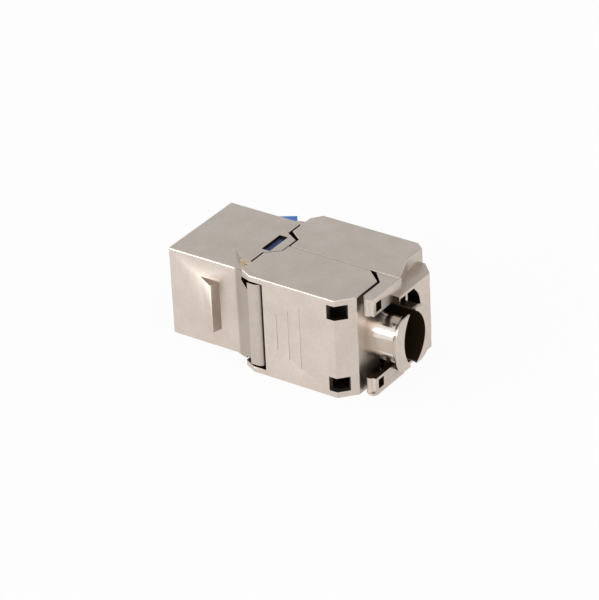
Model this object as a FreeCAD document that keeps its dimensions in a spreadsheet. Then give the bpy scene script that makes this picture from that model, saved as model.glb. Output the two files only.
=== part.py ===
"""A shielded, tool-free keystone jack: die-cast housing, two hinged wings and the parts inside.

Frame: +X runs from the port face to the cable outlet, +Y points to the sprung latch, +Z up.
The origin is the centre of the port face. Lengths are in millimetres. The jack is the same
above and below its middle plane, z = 0, and lies on the bottom plates of its wings.
"""

import FreeCAD, Part
import os
import re
import Sketcher

Vector = FreeCAD.Vector

# Driving dimensions. "near" is the ridge side (-Y), "far" is the latch side (+Y).
SIZES = {
    # front housing
    "case_length": 13.75,
    "case_thick": 16.05,
    "case_width": 14.5,
    "case_wall": 1.3,
    "front_wall": 1.2,
    "edge_round": 0.3,
    # plug opening in the port face, and the notches for the plug's tab
    "plug_width": 11.8,
    "plug_height": 6.95,
    "plug_raise": 1.1,
    "tab_notch_width": 6.2,
    "tab_notch_depth": 1.6,
    "key_notch_width": 3.2,
    "key_notch_depth": 1.1,
    # fixed ridge that hooks behind the panel
    "ridge_foot": 5.6,
    "ridge_run": 2.6,
    "ridge_back": 0.75,
    "ridge_flat": 0.3,
    "ridge_rise": 1.5,
    "ridge_length": 7.9,
    # raised plate with its tab and window, above and below the case
    "plate_rise": 0.75,
    "plate_setback": 0.08,
    "plate_length": 3.67,
    "plate_half": 6.33,
    "plate_corner": 1.5,
    "plate_corner_run": 1.75,
    "tab_length": 2.1,
    "tab_root_near": 3.5,
    "tab_end_near": 1.65,
    "tab_root_far": 3.22,
    "tab_end_far": 1.95,
    "window_setback": 0.72,
    "window_length": 1.45,
    "window_near": 2.62,
    "window_far": 2.08,
    "window_round": 0.15,
    # hinges between the housing and the wings
    "hinge_setback": 2.83,
    "hinge_out": 0.845,
    "barrel_radius": 1.25,
    "column_run": 1.23,
    "column_round": 0.3,
    "ear_gap": 0.35,
    "neck_gap": 0.18,
    "neck_clear": 0.15,
    "neck_setback": 1.9,
    "neck_taper": 1.08,
    "neck_pocket_run": 1.45,
    "neck_pocket_top": 6.3,
    "neck_pocket_high": 5.75,
    "neck_pocket_low": 3.8,
    "neck_pocket_floor": 7.1,
    "neck_pocket_depth": 2.4,
    "trunnion_radius": 0.6,
    "trunnion_clearance": 0.05,
    "trunnion_length": 1.5,
    # both wings
    "wing_proud": 0.88,
    "wing_wall": 1.0,
    "wing_length": 16.18,
    "wing_gap": 0.2,
    "wall_gap": 0.3,
    "wing_round": 0.25,
    "seam_half": 0.03,
    "notch_gap": 0.2,
    "notch_end_gap": 0.15,
    "far_notch_gap": 0.85,
    "far_notch_narrow": 0.55,
    "far_notch_end_gap": 0.3,
    "groove_first": 3.89,
    "groove_pitch": 2.03,
    "groove_length": 6.0,
    "groove_growth": 2.0,
    "groove_width": 0.26,
    "groove_depth": 0.08,
    # near wing
    "near_ear_run": 1.95,
    "near_ear_drop": 0.99,
    "fold_run": 2.26,
    "fold_drop": 2.49,
    "lip_run": 2.55,
    "lip_across": 2.2,
    "opening_low": 4.8,
    "opening_high": 7.1,
    "opening_before": 1.3,
    "opening_after": 1.38,
    # far wing
    "far_ear_run": 1.35,
    "far_ear_drop": 1.69,
    "far_setback": 0.44,
    "far_corner_run": 1.3,
    "far_corner_drop": 1.05,
    "tail_length": 1.9,
    "tail_across": 4.9,
    "far_rear_wall": 1.0,
    "block_length": 2.95,
    "block_half": 6.15,
    "block_drop": 1.78,
    "block_corner": 2.05,
    "block_lip_out": 0.82,
    "block_lip_low": 4.9,
    "recess_depth": 4.0,
    "recess_rib": 0.5,
    "recess_rib_place": 1.75,
    "recess_rib_setback": 0.6,
    "recess_wall": 0.3,
    "recess_top": 5.7,
    "recess_low": 2.05,
    "recess_across": 5.2,
    "recess_crown": 3.5,
    "recess_shoulder_across": 4.75,
    "recess_shoulder_up": 4.2,
    "recess_round": 2.5,
    # tongues of the far wing, which close behind the near wing
    "tongue_drop": 0.18,
    "tongue_wall": 0.9,
    "tongue_plate": 0.4,
    "tongue_low": 5.15,
    "tongue_reach": 7.2,
    "tongue_gap": 0.45,
    "tongue_lip_gap": 0.9,
    "tongue_tip_run": 0.75,
    "tongue_tip_depth": 0.65,
    "tip_end_run": 0.3,
    "nose_radius": 0.64,
    "nose_place": 1.1,
    "wall_end": 6.85,
    "slot_near": 6.22,
    "slot_far": 4.85,
    "slot_low": 5.6,
    "slot_high": 7.1,
    # cable outlet, in two halves
    "outlet_offset": 1.43,
    "outlet_length": 2.2,
    "near_split": 0.97,
    "far_split": 0.43,
    "collar_near_across": 4.6,
    "collar_far_across": 4.4,
    "collar_near_up": 4.27,
    "collar_far_up": 4.5,
    "collar_near_round": 2.3,
    "collar_far_round": 3.3,
    "collar_length": 0.25,
    "flare_length": 0.8,
    "sleeve_near_inset": 0.45,
    "sleeve_far_inset": 0.15,
    "sleeve_near_round": 3.0,
    "sleeve_far_round": 3.1,
    "channel_near": 2.72,
    "channel_far": 2.8,
    "channel_near_radius": 6.3,
    "channel_far_radius": 5.0,
    # sprung latch
    "latch_width": 11.0,
    "latch_slot_gap": 0.15,
    "latch_root": 2.35,
    "latch_root_drop": 0.675,
    "latch_bead": 0.65,
    "latch_arm": 1.15,
    "latch_foot": 4.9,
    "latch_crest": 9.25,
    "latch_rise": 3.93,
    "latch_tail": 11.5,
    "latch_tail_rise": 2.55,
    "latch_tail_thick": 1.0,
    "latch_tail_slope": 0.2,
    "latch_slot_end": 12.2,
    # plug guide and contacts
    "guide_gap": 0.1,
    "guide_length": 11.1,
    "guide_stop": 1.0,
    "contact_pitch": 1.02,
    "contact_width": 0.36,
    "contact_thick": 0.3,
    "contact_groove": 0.52,
    "contact_seat": 0.75,
    "contact_apex": 2.6,
    "contact_bend": 0.5,
    "contact_tip": 9.9,
    "contact_tip_drop": 1.95,
    "groove_clearance": 0.05,
    "spring_thick": 0.2,
    "spring_height": 3.6,
    "spring_bulge": 0.5,
    # circuit board, terminal block, forks and wire cap
    "board_gap": 0.1,
    "board_thick": 1.0,
    "board_edge": 0.2,
    "pin_hole": 0.33,
    "block_gap": 0.1,
    "clip_gap": 0.1,
    "clip_root": 0.7,
    "clip_top": 7.6,
    "block_body": 5.0,
    "tower_length": 4.5,
    "tower_across": 3.0,
    "tower_up": 2.3,
    "tower_row": 4.1,
    "tower_pitch": 2.75,
    "fork_width": 1.9,
    "fork_thick": 0.5,
    "fork_slot": 0.4,
    "fork_slot_depth": 2.6,
    "fork_pin": 0.45,
    "fork_recess": 0.5,
    "fork_clearance": 0.05,
    "wire_slot": 0.9,
    "wire_slot_depth": 2.4,
    "cap_gap": 0.15,
    "cap_length": 7.2,
    "cap_half_across": 6.3,
    "cap_half_up": 6.1,
    "cap_channel": 3.95,
    "cap_floor": 1.9,
    "cap_notch": 1.1,
    "cap_notch_depth": 1.5,
}

# Lengths that several pieces share, worked out from the driving ones.
DERIVED = {
    "case_half_thick": "case_thick / 2",
    "case_half_width": "case_width / 2",
    "cavity_across": "case_half_thick - case_wall",
    "cavity_up": "case_half_width - case_wall",
    "plug_low": "plug_raise - plug_height / 2",
    "plug_high": "plug_raise + plug_height / 2",
    "plate_top": "case_half_width + plate_rise",
    "plate_end": "case_length - plate_setback",
    "plate_start": "plate_end - plate_length",
    "tab_end": "case_length + tab_length",
    "tab_slope_near": "(tab_root_near - tab_end_near) / (tab_end - plate_end)",
    "tab_slope_far": "(tab_root_far - tab_end_far) / (tab_end - plate_end)",
    "window_start": "plate_end - window_setback",
    "hinge_x": "case_length + hinge_setback",
    "hinge_y": "case_half_thick + hinge_out",
    "wing_y": "hinge_y + barrel_radius",
    "wing_inner_y": "wing_y - wing_wall",
    "wing_half": "case_half_width + wing_proud",
    "wing_inner": "wing_half - wing_wall",
    "barrel_half": "wing_inner - ear_gap",
    "neck_half": "wing_inner - neck_gap",
    "neck_rise": "hinge_y + barrel_radius / 8 - case_half_thick",
    "neck_slope": "neck_rise / (hinge_setback - neck_taper + neck_setback)",
    "root_y": "case_half_thick + neck_slope * (neck_setback - neck_clear)",
    "wing_front": "case_length + wing_gap",
    "wall_start": "hinge_x + barrel_radius + wall_gap",
    "near_rear": "hinge_x + wing_length",
    "fold_x": "near_rear - fold_run",
    "far_rear": "near_rear + far_setback",
    "far_tail": "far_rear + tail_length",
    "block_x": "far_rear + block_length",
    "block_y": "wing_y - block_drop",
    "tongue_top": "wing_half - tongue_drop",
    "tongue_front": "near_rear + tongue_gap",
    "near_split_y": "-outlet_offset - near_split",
    "far_split_y": "-outlet_offset + far_split",
    "block_near": "far_split_y - block_lip_out",
    "collar_near": "-outlet_offset - collar_near_across",
    "collar_far": "-outlet_offset + collar_far_across",
    "channel_near_middle": "-outlet_offset - channel_near + channel_near_radius",
    "channel_far_middle": "-outlet_offset + channel_far - channel_far_radius",
    "outlet_end": "block_x + outlet_length",
    "guide_start": "front_wall + guide_gap",
    "guide_end": "guide_start + guide_length",
    "stop_x": "guide_end - guide_stop",
    "contact_y": "plug_high + contact_seat",
    "board_start": "guide_end + board_gap",
    "board_end": "board_start + board_thick",
    "block_start": "board_end + block_gap",
    "block_end": "block_start + block_body",
    "tower_end": "block_end + tower_length",
    "fork_tip": "tower_end - fork_recess",
    "cap_start": "tower_end + cap_gap",
    "cap_end": "cap_start + cap_length",
}

CONTACTS = 8
FORK_ROWS = (-1, 1)
FORKS_IN_ROW = 4
GROOVES = 3

document = FreeCAD.newDocument("keystone_jack")
sheet = document.addObject("Spreadsheet::Sheet", "Sizes")


def fill_sheet():
    """Put each driving dimension and each shared length in a cell of its own, with an alias."""
    cells = [(name, str(value)) for name, value in SIZES.items()]
    cells += [(name, "=" + formula) for name, formula in DERIVED.items()]
    for row, (name, content) in enumerate(cells, start=1):
        sheet.set(f"A{row}", name)
        sheet.set(f"B{row}", content)
        sheet.setAlias(f"B{row}", name)
    document.recompute()


def bound(formula):
    """Turn the plain size names of a formula into references to the sheet."""
    names = SIZES.keys() | DERIVED.keys()
    return re.sub(r"[a-z_]+", lambda word: f"Sizes.{word[0]}" if word[0] in names else word[0], formula)


def value(formula):
    """Return what a formula in the size names comes to now."""
    return float(sheet.evalExpression(bound(formula)))


def pin_down(sketch, kind, formula, *where):
    """Add one constraint to a sketch and bind it to a formula."""
    index = sketch.addConstraint(Sketcher.Constraint(kind, *where, value(formula)))
    sketch.setExpression(f"Constraints[{index}]", bound(formula))


def polygon(*corners, rounds=None):
    """Return a drawing step for a closed outline; rounds maps a corner's number to its radius."""

    def draw(sketch):
        first = sketch.GeometryCount
        count = len(corners)
        points = [Vector(value(across), value(up), 0) for across, up in corners]
        for n in range(count):
            sketch.addGeometry(Part.LineSegment(points[n], points[(n + 1) % count]), False)
        for n in range(count):
            sketch.addConstraint(Sketcher.Constraint("Coincident", first + n, 2, first + (n + 1) % count, 1))
        for n, (across, up) in enumerate(corners):
            pin_down(sketch, "DistanceX", across, first + n, 1)
            pin_down(sketch, "DistanceY", up, first + n, 1)
        for n, radius in (rounds or {}).items():
            arc = sketch.GeometryCount
            sketch.fillet(first + (n - 1) % count, 2, value(radius), True, True)
            pin_down(sketch, "Radius", radius, arc)

    return draw


def rectangle(left, right, low, high, radius=None):
    """Return a drawing step for a rectangle, with rounded corners if a radius is given."""
    rounds = dict.fromkeys(range(4), radius) if radius else None
    return polygon((left, low), (right, low), (right, high), (left, high), rounds=rounds)


def circle(across, up, radius):
    """Return a drawing step for a circle."""

    def draw(sketch):
        centre = Vector(value(across), value(up), 0)
        index = sketch.addGeometry(Part.Circle(centre, Vector(0, 0, 1), value(radius)), False)
        pin_down(sketch, "DistanceX", across, index, 3)
        pin_down(sketch, "DistanceY", up, index, 3)
        pin_down(sketch, "Radius", radius, index)

    return draw


def new_body(name):
    """Start a sub-part; its label names its file."""
    body = document.addObject("PartDesign::Body", name)
    body.Label = name
    return body


def new_sketch(body, plane, start, drawings):
    """Draw on one of the body's own planes, moved by start along the plane's normal."""
    sketch = body.newObject("Sketcher::SketchObject", "Outline")
    support = next(part for part in body.Origin.OriginFeatures if part.Role == plane)
    sketch.AttachmentSupport = [(support, "")]
    sketch.MapMode = "FlatFace"
    for draw in drawings:
        draw(sketch)
    if start is not None:
        sketch.AttachmentOffset = FreeCAD.Placement(Vector(0, 0, value(start)), FreeCAD.Rotation())
        sketch.setExpression("AttachmentOffset.Base.z", bound(start))
    return sketch


def extrude(kind, body, plane, start, length, drawings):
    """Pad or pocket drawings along a plane's normal, or evenly to both sides if start is None."""
    sketch = new_sketch(body, plane, start, drawings)
    feature = body.newObject(kind, "Step")
    feature.Profile = sketch
    feature.setExpression("Length", bound(length))
    if start is None:
        feature.SideType = "Symmetric"
    elif kind == "PartDesign::Pocket":
        feature.Reversed = True
    sketch.Visibility = False
    document.recompute()
    return feature


def add(body, plane, start, length, *drawings):
    """Add material from start for a length along the plane's normal."""
    return extrude("PartDesign::Pad", body, plane, start, length, drawings)


def cut(body, plane, start, length, *drawings):
    """Take material away from start for a length along the plane's normal."""
    return extrude("PartDesign::Pocket", body, plane, start, length, drawings)


def above_and_below(step, body, low, high, *drawings):
    """Do the same step between two heights above the middle plane and again below it."""
    step(body, "XY_Plane", low, f"({high}) - ({low})", *drawings)
    step(body, "XY_Plane", f"-({high})", f"({high}) - ({low})", *drawings)


def round_edges(body, feature, radius):
    """Round every edge of the body so far."""
    fillet = body.newObject("PartDesign::Fillet", "Rounding")
    fillet.Base = (feature, ["Edge1"])
    fillet.UseAllEdges = True
    fillet.setExpression("Radius", bound(radius))
    document.recompute()
    return fillet


def front_housing():
    """Die-cast case with the port, panel ridge, raised plates with tabs, and the hinge barrels."""
    body = new_body("front_housing")
    case = add(
        body, "YZ_Plane", "0", "case_length",
        rectangle("-case_half_thick", "case_half_thick", "-case_half_width", "case_half_width"),
    )
    round_edges(body, case, "edge_round")
    add(
        body, "XY_Plane", None, "ridge_length",
        polygon(
            ("ridge_foot", "-case_half_thick + edge_round"),
            ("ridge_foot", "-case_half_thick"),
            ("ridge_foot + ridge_run", "-case_half_thick - ridge_rise"),
            ("ridge_foot + ridge_run + ridge_flat", "-case_half_thick - ridge_rise"),
            ("ridge_foot + ridge_run + ridge_back", "-case_half_thick"),
            ("ridge_foot + ridge_run + ridge_back", "-case_half_thick + edge_round"),
        ),
    )
    plate = polygon(
        ("plate_start", "-plate_half + plate_corner"),
        ("plate_start + plate_corner_run", "-plate_half"),
        ("plate_end", "-plate_half"),
        ("plate_end", "-tab_root_near"),
        ("tab_end", "-tab_end_near"),
        ("tab_end", "tab_end_far"),
        ("plate_end", "tab_root_far"),
        ("plate_end", "plate_half"),
        ("plate_start + plate_corner_run", "plate_half"),
        ("plate_start", "plate_half - plate_corner"),
    )
    above_and_below(add, body, "cavity_up + edge_round", "plate_top", plate)
    above_and_below(
        cut, body, "cavity_up", "wing_inner",
        rectangle("case_length", "tab_end + wing_wall", "-case_half_thick", "case_half_thick"),
    )
    for side in (-1, 1):
        neck = polygon(
            ("case_length - neck_setback - case_wall", f"{side} * cavity_across"),
            ("case_length - neck_setback - case_wall", f"{side} * (case_half_thick - edge_round)"),
            ("case_length - neck_setback", f"{side} * case_half_thick"),
            ("hinge_x - neck_taper", f"{side} * (case_half_thick + neck_rise)"),
            ("hinge_x", f"{side} * hinge_y"),
            ("hinge_x - neck_taper", f"{side} * cavity_across"),
        )
        add(body, "XY_Plane", None, "2 * neck_half", neck)
        root = polygon(
            ("case_length - neck_setback", f"{side} * cavity_across"),
            ("case_length - neck_setback", f"{side} * case_half_thick"),
            ("case_length - neck_clear", f"{side} * root_y"),
            ("case_length - neck_clear", f"{side} * cavity_across"),
        )
        above_and_below(add, body, "neck_half - edge_round", "case_half_width", root)
        pocket = polygon(
            ("case_length - neck_setback + neck_pocket_run", "neck_pocket_top"),
            ("case_length - neck_setback + neck_pocket_run", "neck_pocket_high"),
            ("hinge_x - column_run", "neck_pocket_low"),
            ("hinge_x - column_run", "neck_pocket_top"),
        )
        outer = "neck_pocket_floor" if side < 0 else "-neck_pocket_floor - neck_pocket_depth"
        cut(body, "XZ_Plane", outer, "neck_pocket_depth", pocket)
        cut(
            body, "XY_Plane", None, "2 * wing_half",
            circle("hinge_x", f"{side} * hinge_y", "barrel_radius"),
        )
        add(
            body, "XY_Plane", None, "2 * barrel_half",
            circle("hinge_x", f"{side} * hinge_y", "barrel_radius"),
        )
        column = polygon(
            ("hinge_x - column_run", f"{side} * hinge_y"),
            ("hinge_x - column_run", f"{side} * wing_y"),
            ("hinge_x", f"{side} * wing_y"),
            ("hinge_x", f"{side} * hinge_y"),
            rounds={1: "column_round"},
        )
        add(body, "XY_Plane", None, "2 * barrel_half", column)
        cut(
            body, "XY_Plane", None, "2 * wing_half",
            circle("hinge_x", f"{side} * hinge_y", "trunnion_radius + trunnion_clearance"),
        )
    cut(
        body, "YZ_Plane", "front_wall", "case_length",
        rectangle("-cavity_across", "cavity_across", "-cavity_up", "cavity_up"),
    )
    cut(
        body, "YZ_Plane", "0", "front_wall",
        polygon(
            ("plug_high", "-plug_width / 2"),
            ("plug_high", "plug_width / 2"),
            ("plug_low", "plug_width / 2"),
            ("plug_low", "tab_notch_width / 2"),
            ("plug_low - tab_notch_depth", "tab_notch_width / 2"),
            ("plug_low - tab_notch_depth", "key_notch_width / 2"),
            ("plug_low - tab_notch_depth - key_notch_depth", "key_notch_width / 2"),
            ("plug_low - tab_notch_depth - key_notch_depth", "-key_notch_width / 2"),
            ("plug_low - tab_notch_depth", "-key_notch_width / 2"),
            ("plug_low - tab_notch_depth", "-tab_notch_width / 2"),
            ("plug_low", "-tab_notch_width / 2"),
            ("plug_low", "-plug_width / 2"),
        ),
    )
    cut(
        body, "XY_Plane", None, "2 * wing_half",
        rectangle("window_start", "window_start + window_length", "-window_near", "window_far", "window_round"),
    )
    cut(
        body, "XY_Plane", None, "latch_width + 2 * latch_slot_gap",
        rectangle(
            "latch_root - latch_bead - latch_slot_gap", "latch_slot_end",
            "cavity_across - case_wall / 2", "case_half_thick + case_wall",
        ),
    )
    return body


def keystone_latch():
    """Moulded latch: a bead at its root, a sprung arm, a ramp with a catch, and a finger tail."""
    body = new_body("keystone_latch")
    top = "case_half_thick"
    add(
        body, "XY_Plane", None, "latch_width",
        polygon(
            ("latch_root", f"{top} - latch_root_drop - latch_bead / 2"),
            ("latch_root + latch_bead", f"{top} - latch_root_drop - latch_bead / 2"),
            ("latch_foot", f"{top} - latch_bead / 4"),
            ("latch_crest", f"{top} + latch_tail_rise - latch_tail_thick"),
            ("latch_tail", f"{top} + latch_tail_rise - latch_tail_thick"),
            ("latch_tail", f"{top} + latch_tail_rise"),
            ("latch_crest + latch_bead / 5", f"{top} + latch_tail_rise + latch_tail_slope"),
            ("latch_crest", f"{top} + latch_rise"),
            ("latch_foot", f"{top} + latch_arm"),
            ("latch_root + latch_bead / 2", f"{top}"),
            ("latch_root - latch_bead / 2", f"{top} - latch_root_drop + latch_bead / 2"),
        ),
    )
    add(
        body, "XY_Plane", None, "latch_width",
        circle("latch_root", f"{top} - latch_root_drop", "latch_bead"),
    )
    return body


def contact_height(number):
    """Return the formula for the height of a contact, counted from 0 at the bottom."""
    return f"contact_pitch * ({number} - {(CONTACTS - 1) / 2})"


def fork_heights():
    """Return the formulas for the heights of the forks in one row."""
    return [f"tower_pitch * ({n} - {(FORKS_IN_ROW - 1) / 2})" for n in range(FORKS_IN_ROW)]


def port_insert():
    """Plastic plug guide inside the case, open to the port, with a groove for each contact."""
    body = new_body("port_insert")
    edge = "cavity_across - guide_gap"
    side = "cavity_up - guide_gap"
    add(
        body, "YZ_Plane", "guide_start", "guide_length",
        rectangle(f"-({edge})", edge, f"-({side})", side),
    )
    cut(
        body, "YZ_Plane", "guide_start", "guide_length - guide_stop",
        rectangle("plug_low", "plug_high", "-cavity_up", "cavity_up"),
    )
    cut(
        body, "YZ_Plane", "guide_start", "guide_length - guide_stop",
        rectangle("plug_low - tab_notch_depth", "plug_high", "-tab_notch_width / 2", "tab_notch_width / 2"),
    )
    cut(
        body, "YZ_Plane", "guide_start", "guide_length - guide_stop",
        rectangle(
            "plug_low - tab_notch_depth - key_notch_depth", "plug_high",
            "-key_notch_width / 2", "key_notch_width / 2",
        ),
    )
    grooves = [
        rectangle(
            "plug_high - contact_thick", "contact_y + contact_thick / 2 + groove_clearance",
            f"{contact_height(n)} - contact_groove / 2", f"{contact_height(n)} + contact_groove / 2",
        )
        for n in range(CONTACTS)
    ]
    cut(body, "YZ_Plane", "contact_apex - 2 * contact_bend", "guide_length", *grooves)
    return body


def spring_contact(number):
    """Gilt wire contact: straight along its groove, bent back and sprung down into the port."""
    body = new_body(f"contact_{number + 1}")
    path = body.newObject("Sketcher::SketchObject", "Path")
    support = next(part for part in body.Origin.OriginFeatures if part.Role == "XY_Plane")
    path.AttachmentSupport = [(support, "")]
    path.MapMode = "FlatFace"
    points = [
        ("board_end", "contact_y"),
        ("contact_apex", "contact_y"),
        ("contact_tip", "plug_high - contact_tip_drop"),
    ]
    places = [Vector(value(along), value(across), 0) for along, across in points]
    path.addGeometry(Part.LineSegment(places[0], places[1]), False)
    path.addGeometry(Part.LineSegment(places[1], places[2]), False)
    path.addConstraint(Sketcher.Constraint("Coincident", 0, 2, 1, 1))
    for (along, across), where in zip(points, ((0, 1), (1, 1), (1, 2))):
        pin_down(path, "DistanceX", along, *where)
        pin_down(path, "DistanceY", across, *where)
    path.fillet(0, 2, value("contact_bend"), True, True)
    pin_down(path, "Radius", "contact_bend", 2)
    section = new_sketch(
        body, "YZ_Plane", "board_end",
        [
            rectangle(
                "contact_y - contact_thick / 2", "contact_y + contact_thick / 2",
                "-contact_width / 2", "contact_width / 2",
            )
        ],
    )
    document.recompute()
    pipe = body.newObject("PartDesign::AdditivePipe", "Wire")
    pipe.Profile = section
    pipe.Spine = (path, ["Edge1", "Edge3", "Edge2"])
    path.Visibility = False
    section.Visibility = False
    body.setExpression("Placement.Base.z", bound(contact_height(number)))
    document.recompute()
    return body


def shield_spring(name, side):
    """Bent strip that presses on the shield of the plug, at one side of the port."""
    body = new_body(name)
    wall = "(cavity_up - guide_gap / 2)"
    bulge = f"({wall} - spring_bulge)"
    add(
        body, "XZ_Plane", None, "spring_height",
        polygon(
            ("guide_start", f"{side} * {wall}"),
            ("stop_x - guide_stop", f"{side} * {wall}"),
            ("stop_x - guide_stop", f"{side} * ({wall} - spring_thick)"),
            ("stop_x - 3 * guide_stop", f"{side} * ({wall} - spring_thick)"),
            ("stop_x / 2", f"{side} * ({bulge} - spring_thick)"),
            ("guide_start + guide_stop", f"{side} * ({wall} - spring_thick)"),
            ("guide_start", f"{side} * ({wall} - spring_thick)"),
        ),
    )
    body.setExpression("Placement.Base.y", bound("plug_raise"))
    return body


def circuit_board():
    """Small board that joins the port contacts to the forks."""
    body = new_body("circuit_board")
    edge = "cavity_across - board_edge"
    side = "cavity_up - board_edge"
    add(body, "YZ_Plane", "board_start", "board_thick", rectangle(f"-({edge})", edge, f"-({side})", side))
    holes = [circle("contact_y", contact_height(n), "pin_hole") for n in range(CONTACTS)]
    holes += [circle(f"{row} * tower_row", up, "pin_hole") for row in FORK_ROWS for up in fork_heights()]
    cut(body, "YZ_Plane", "board_start", "board_thick", *holes)
    return body


def terminal_block():
    """Moulded block behind the board: a slotted tower around each fork, and a clip in each window of the case."""
    body = new_body("terminal_block")
    edge = "cavity_across - block_gap"
    side = "cavity_up - block_gap"
    add(body, "YZ_Plane", "block_start", "block_body", rectangle(f"-({edge})", edge, f"-({side})", side))
    root, stem, head = (
        ("block_start", "block_start + clip_root", "cavity_up - 3 * block_gap", "cavity_up"),
        ("window_start + clip_gap", "block_start + clip_root", "cavity_up - block_gap", "cavity_up"),
        ("window_start + clip_gap", "window_start + window_length - clip_gap", "cavity_up - block_gap", "clip_top"),
    )
    for up in (-1, 1):
        for start, end, low, high in (root, stem, head):
            add(
                body, "XZ_Plane", "-window_far + clip_gap", "window_near + window_far - 2 * clip_gap",
                rectangle(start, end, f"{up} * ({low})", f"{up} * ({high})"),
            )
    for row in FORK_ROWS:
        for up in fork_heights():
            middle = f"{row} * tower_row"
            add(
                body, "YZ_Plane", "block_end", "tower_length",
                rectangle(
                    f"{middle} - tower_across / 2", f"{middle} + tower_across / 2",
                    f"{up} - tower_up / 2", f"{up} + tower_up / 2",
                ),
            )
            cut(
                body, "YZ_Plane", "tower_end - wire_slot_depth", "wire_slot_depth",
                rectangle(
                    f"{middle} - tower_across", f"{middle} + tower_across",
                    f"{up} - wire_slot / 2", f"{up} + wire_slot / 2",
                ),
            )
            cut(
                body, "YZ_Plane", "block_start", "tower_end",
                rectangle(
                    f"{middle} - fork_thick / 2 - fork_clearance", f"{middle} + fork_thick / 2 + fork_clearance",
                    f"{up} - fork_width / 2 - fork_clearance", f"{up} + fork_width / 2 + fork_clearance",
                ),
            )
    return body


def fork(number, row, up):
    """Insulation-piercing fork: a flat blade with an open slot and a pin through the board."""
    body = new_body(f"fork_{number}")
    add(
        body, "XZ_Plane", None, "fork_thick",
        polygon(
            ("block_start", "-fork_width / 2"),
            ("fork_tip", "-fork_width / 2"),
            ("fork_tip", "-fork_width / 2 + fork_slot / 2"),
            ("fork_tip - fork_slot", "-fork_slot / 2"),
            ("fork_tip - fork_slot_depth", "-fork_slot / 2"),
            ("fork_tip - fork_slot_depth", "fork_slot / 2"),
            ("fork_tip - fork_slot", "fork_slot / 2"),
            ("fork_tip", "fork_width / 2 - fork_slot / 2"),
            ("fork_tip", "fork_width / 2"),
            ("block_start", "fork_width / 2"),
        ),
    )
    add(
        body, "YZ_Plane", "board_start", "board_thick + block_gap + fork_slot",
        rectangle("-fork_pin / 2", "fork_pin / 2", "-fork_pin / 2", "fork_pin / 2"),
    )
    body.setExpression("Placement.Base.y", bound(f"{row} * tower_row"))
    body.setExpression("Placement.Base.z", bound(up))
    return body


def wire_cap():
    """Cap that holds the eight wires over the forks, with a channel for the cable."""
    body = new_body("wire_cap")
    add(
        body, "YZ_Plane", "cap_start", "cap_length",
        rectangle("-cap_half_across", "cap_half_across", "-cap_half_up", "cap_half_up", "wing_wall"),
    )
    cut(
        body, "YZ_Plane", "cap_start + cap_floor", "cap_length - cap_floor",
        circle("-outlet_offset", "0", "cap_channel"),
    )
    notches = [
        rectangle("-2 * cap_half_across", "2 * cap_half_across", f"{up} - cap_notch / 2", f"{up} + cap_notch / 2")
        for up in fork_heights()
    ]
    cut(body, "YZ_Plane", "cap_start", "cap_notch_depth", *notches)
    return body


def add_trunnions(body, side):
    """Add the stub shafts on which a wing turns, one under each ear."""
    centre = ("hinge_x", f"{side} * hinge_y")
    above_and_below(
        add, body, "wing_inner - trunnion_length", "wing_inner + wing_wall / 2",
        circle(*centre, "trunnion_radius"),
    )


def cut_grooves(body, side):
    """Cut the three grip grooves, each longer than the one before it."""
    for n in range(GROOVES):
        middle = f"hinge_x + groove_first + {n} * groove_pitch"
        cut(
            body, "XY_Plane", None, f"groove_length + {n} * groove_growth",
            rectangle(
                f"{middle} - groove_width / 2", f"{middle} + groove_width / 2",
                f"{side} * wing_y - groove_depth", f"{side} * wing_y + groove_depth",
            ),
        )


def near_wing():
    """Hinged wing at the ridge side, with its half of the cable outlet."""
    body = new_body("near_wing")
    front_notch = "tab_root_near - tab_slope_near * (wing_front - plate_end) + notch_gap"
    end_notch = "tab_end_near - tab_slope_near * notch_end_gap + notch_gap"
    shell = add(
        body, "XY_Plane", None, "2 * wing_half",
        polygon(
            ("wing_front", "-wing_y + near_ear_drop"),
            ("wing_front + near_ear_run", "-wing_y"),
            ("fold_x", "-wing_y"),
            ("near_rear", "-wing_y + fold_drop"),
            ("near_rear", "-lip_across"),
            ("near_rear - lip_run", "-seam_half"),
            ("tab_end + notch_end_gap", "-seam_half"),
            ("tab_end + notch_end_gap", f"-({end_notch})"),
            ("wing_front", f"-({front_notch})"),
        ),
    )
    round_edges(body, shell, "wing_round")
    cut(
        body, "XY_Plane", None, "2 * wing_inner",
        polygon(
            ("case_length - wing_wall", "-wing_y - wing_wall"),
            ("wall_start", "-wing_y - wing_wall"),
            ("wall_start", "-wing_inner_y"),
            ("fold_x - 0.42 * wing_wall", "-wing_inner_y"),
            ("near_rear - wing_wall", "-wing_y + fold_drop + 0.38 * wing_wall"),
            ("near_rear - wing_wall", "wing_wall"),
            ("case_length - wing_wall", "wing_wall"),
        ),
    )
    above_and_below(
        cut, body, "opening_low", "opening_high",
        polygon(
            ("fold_x - opening_before", "-wing_y - wing_wall"),
            ("fold_x - opening_before", "-wing_inner_y + 0.5 * wing_wall"),
            ("fold_x", "-wing_inner_y + 0.8 * wing_wall"),
            ("fold_x + opening_after - 1.2 * wing_wall", "-wing_y + 1.1 * opening_after + 1.1 * wing_wall"),
            ("fold_x + opening_after + 0.8 * wing_wall", "-wing_y + 1.1 * opening_after - 0.7 * wing_wall"),
            ("fold_x + 0.8 * wing_wall", "-wing_y - wing_wall"),
        ),
    )
    cut_grooves(body, -1)
    add_trunnions(body, -1)
    half_outlet(body, -1, "near", "near_rear - wing_wall / 2")
    return body


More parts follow.
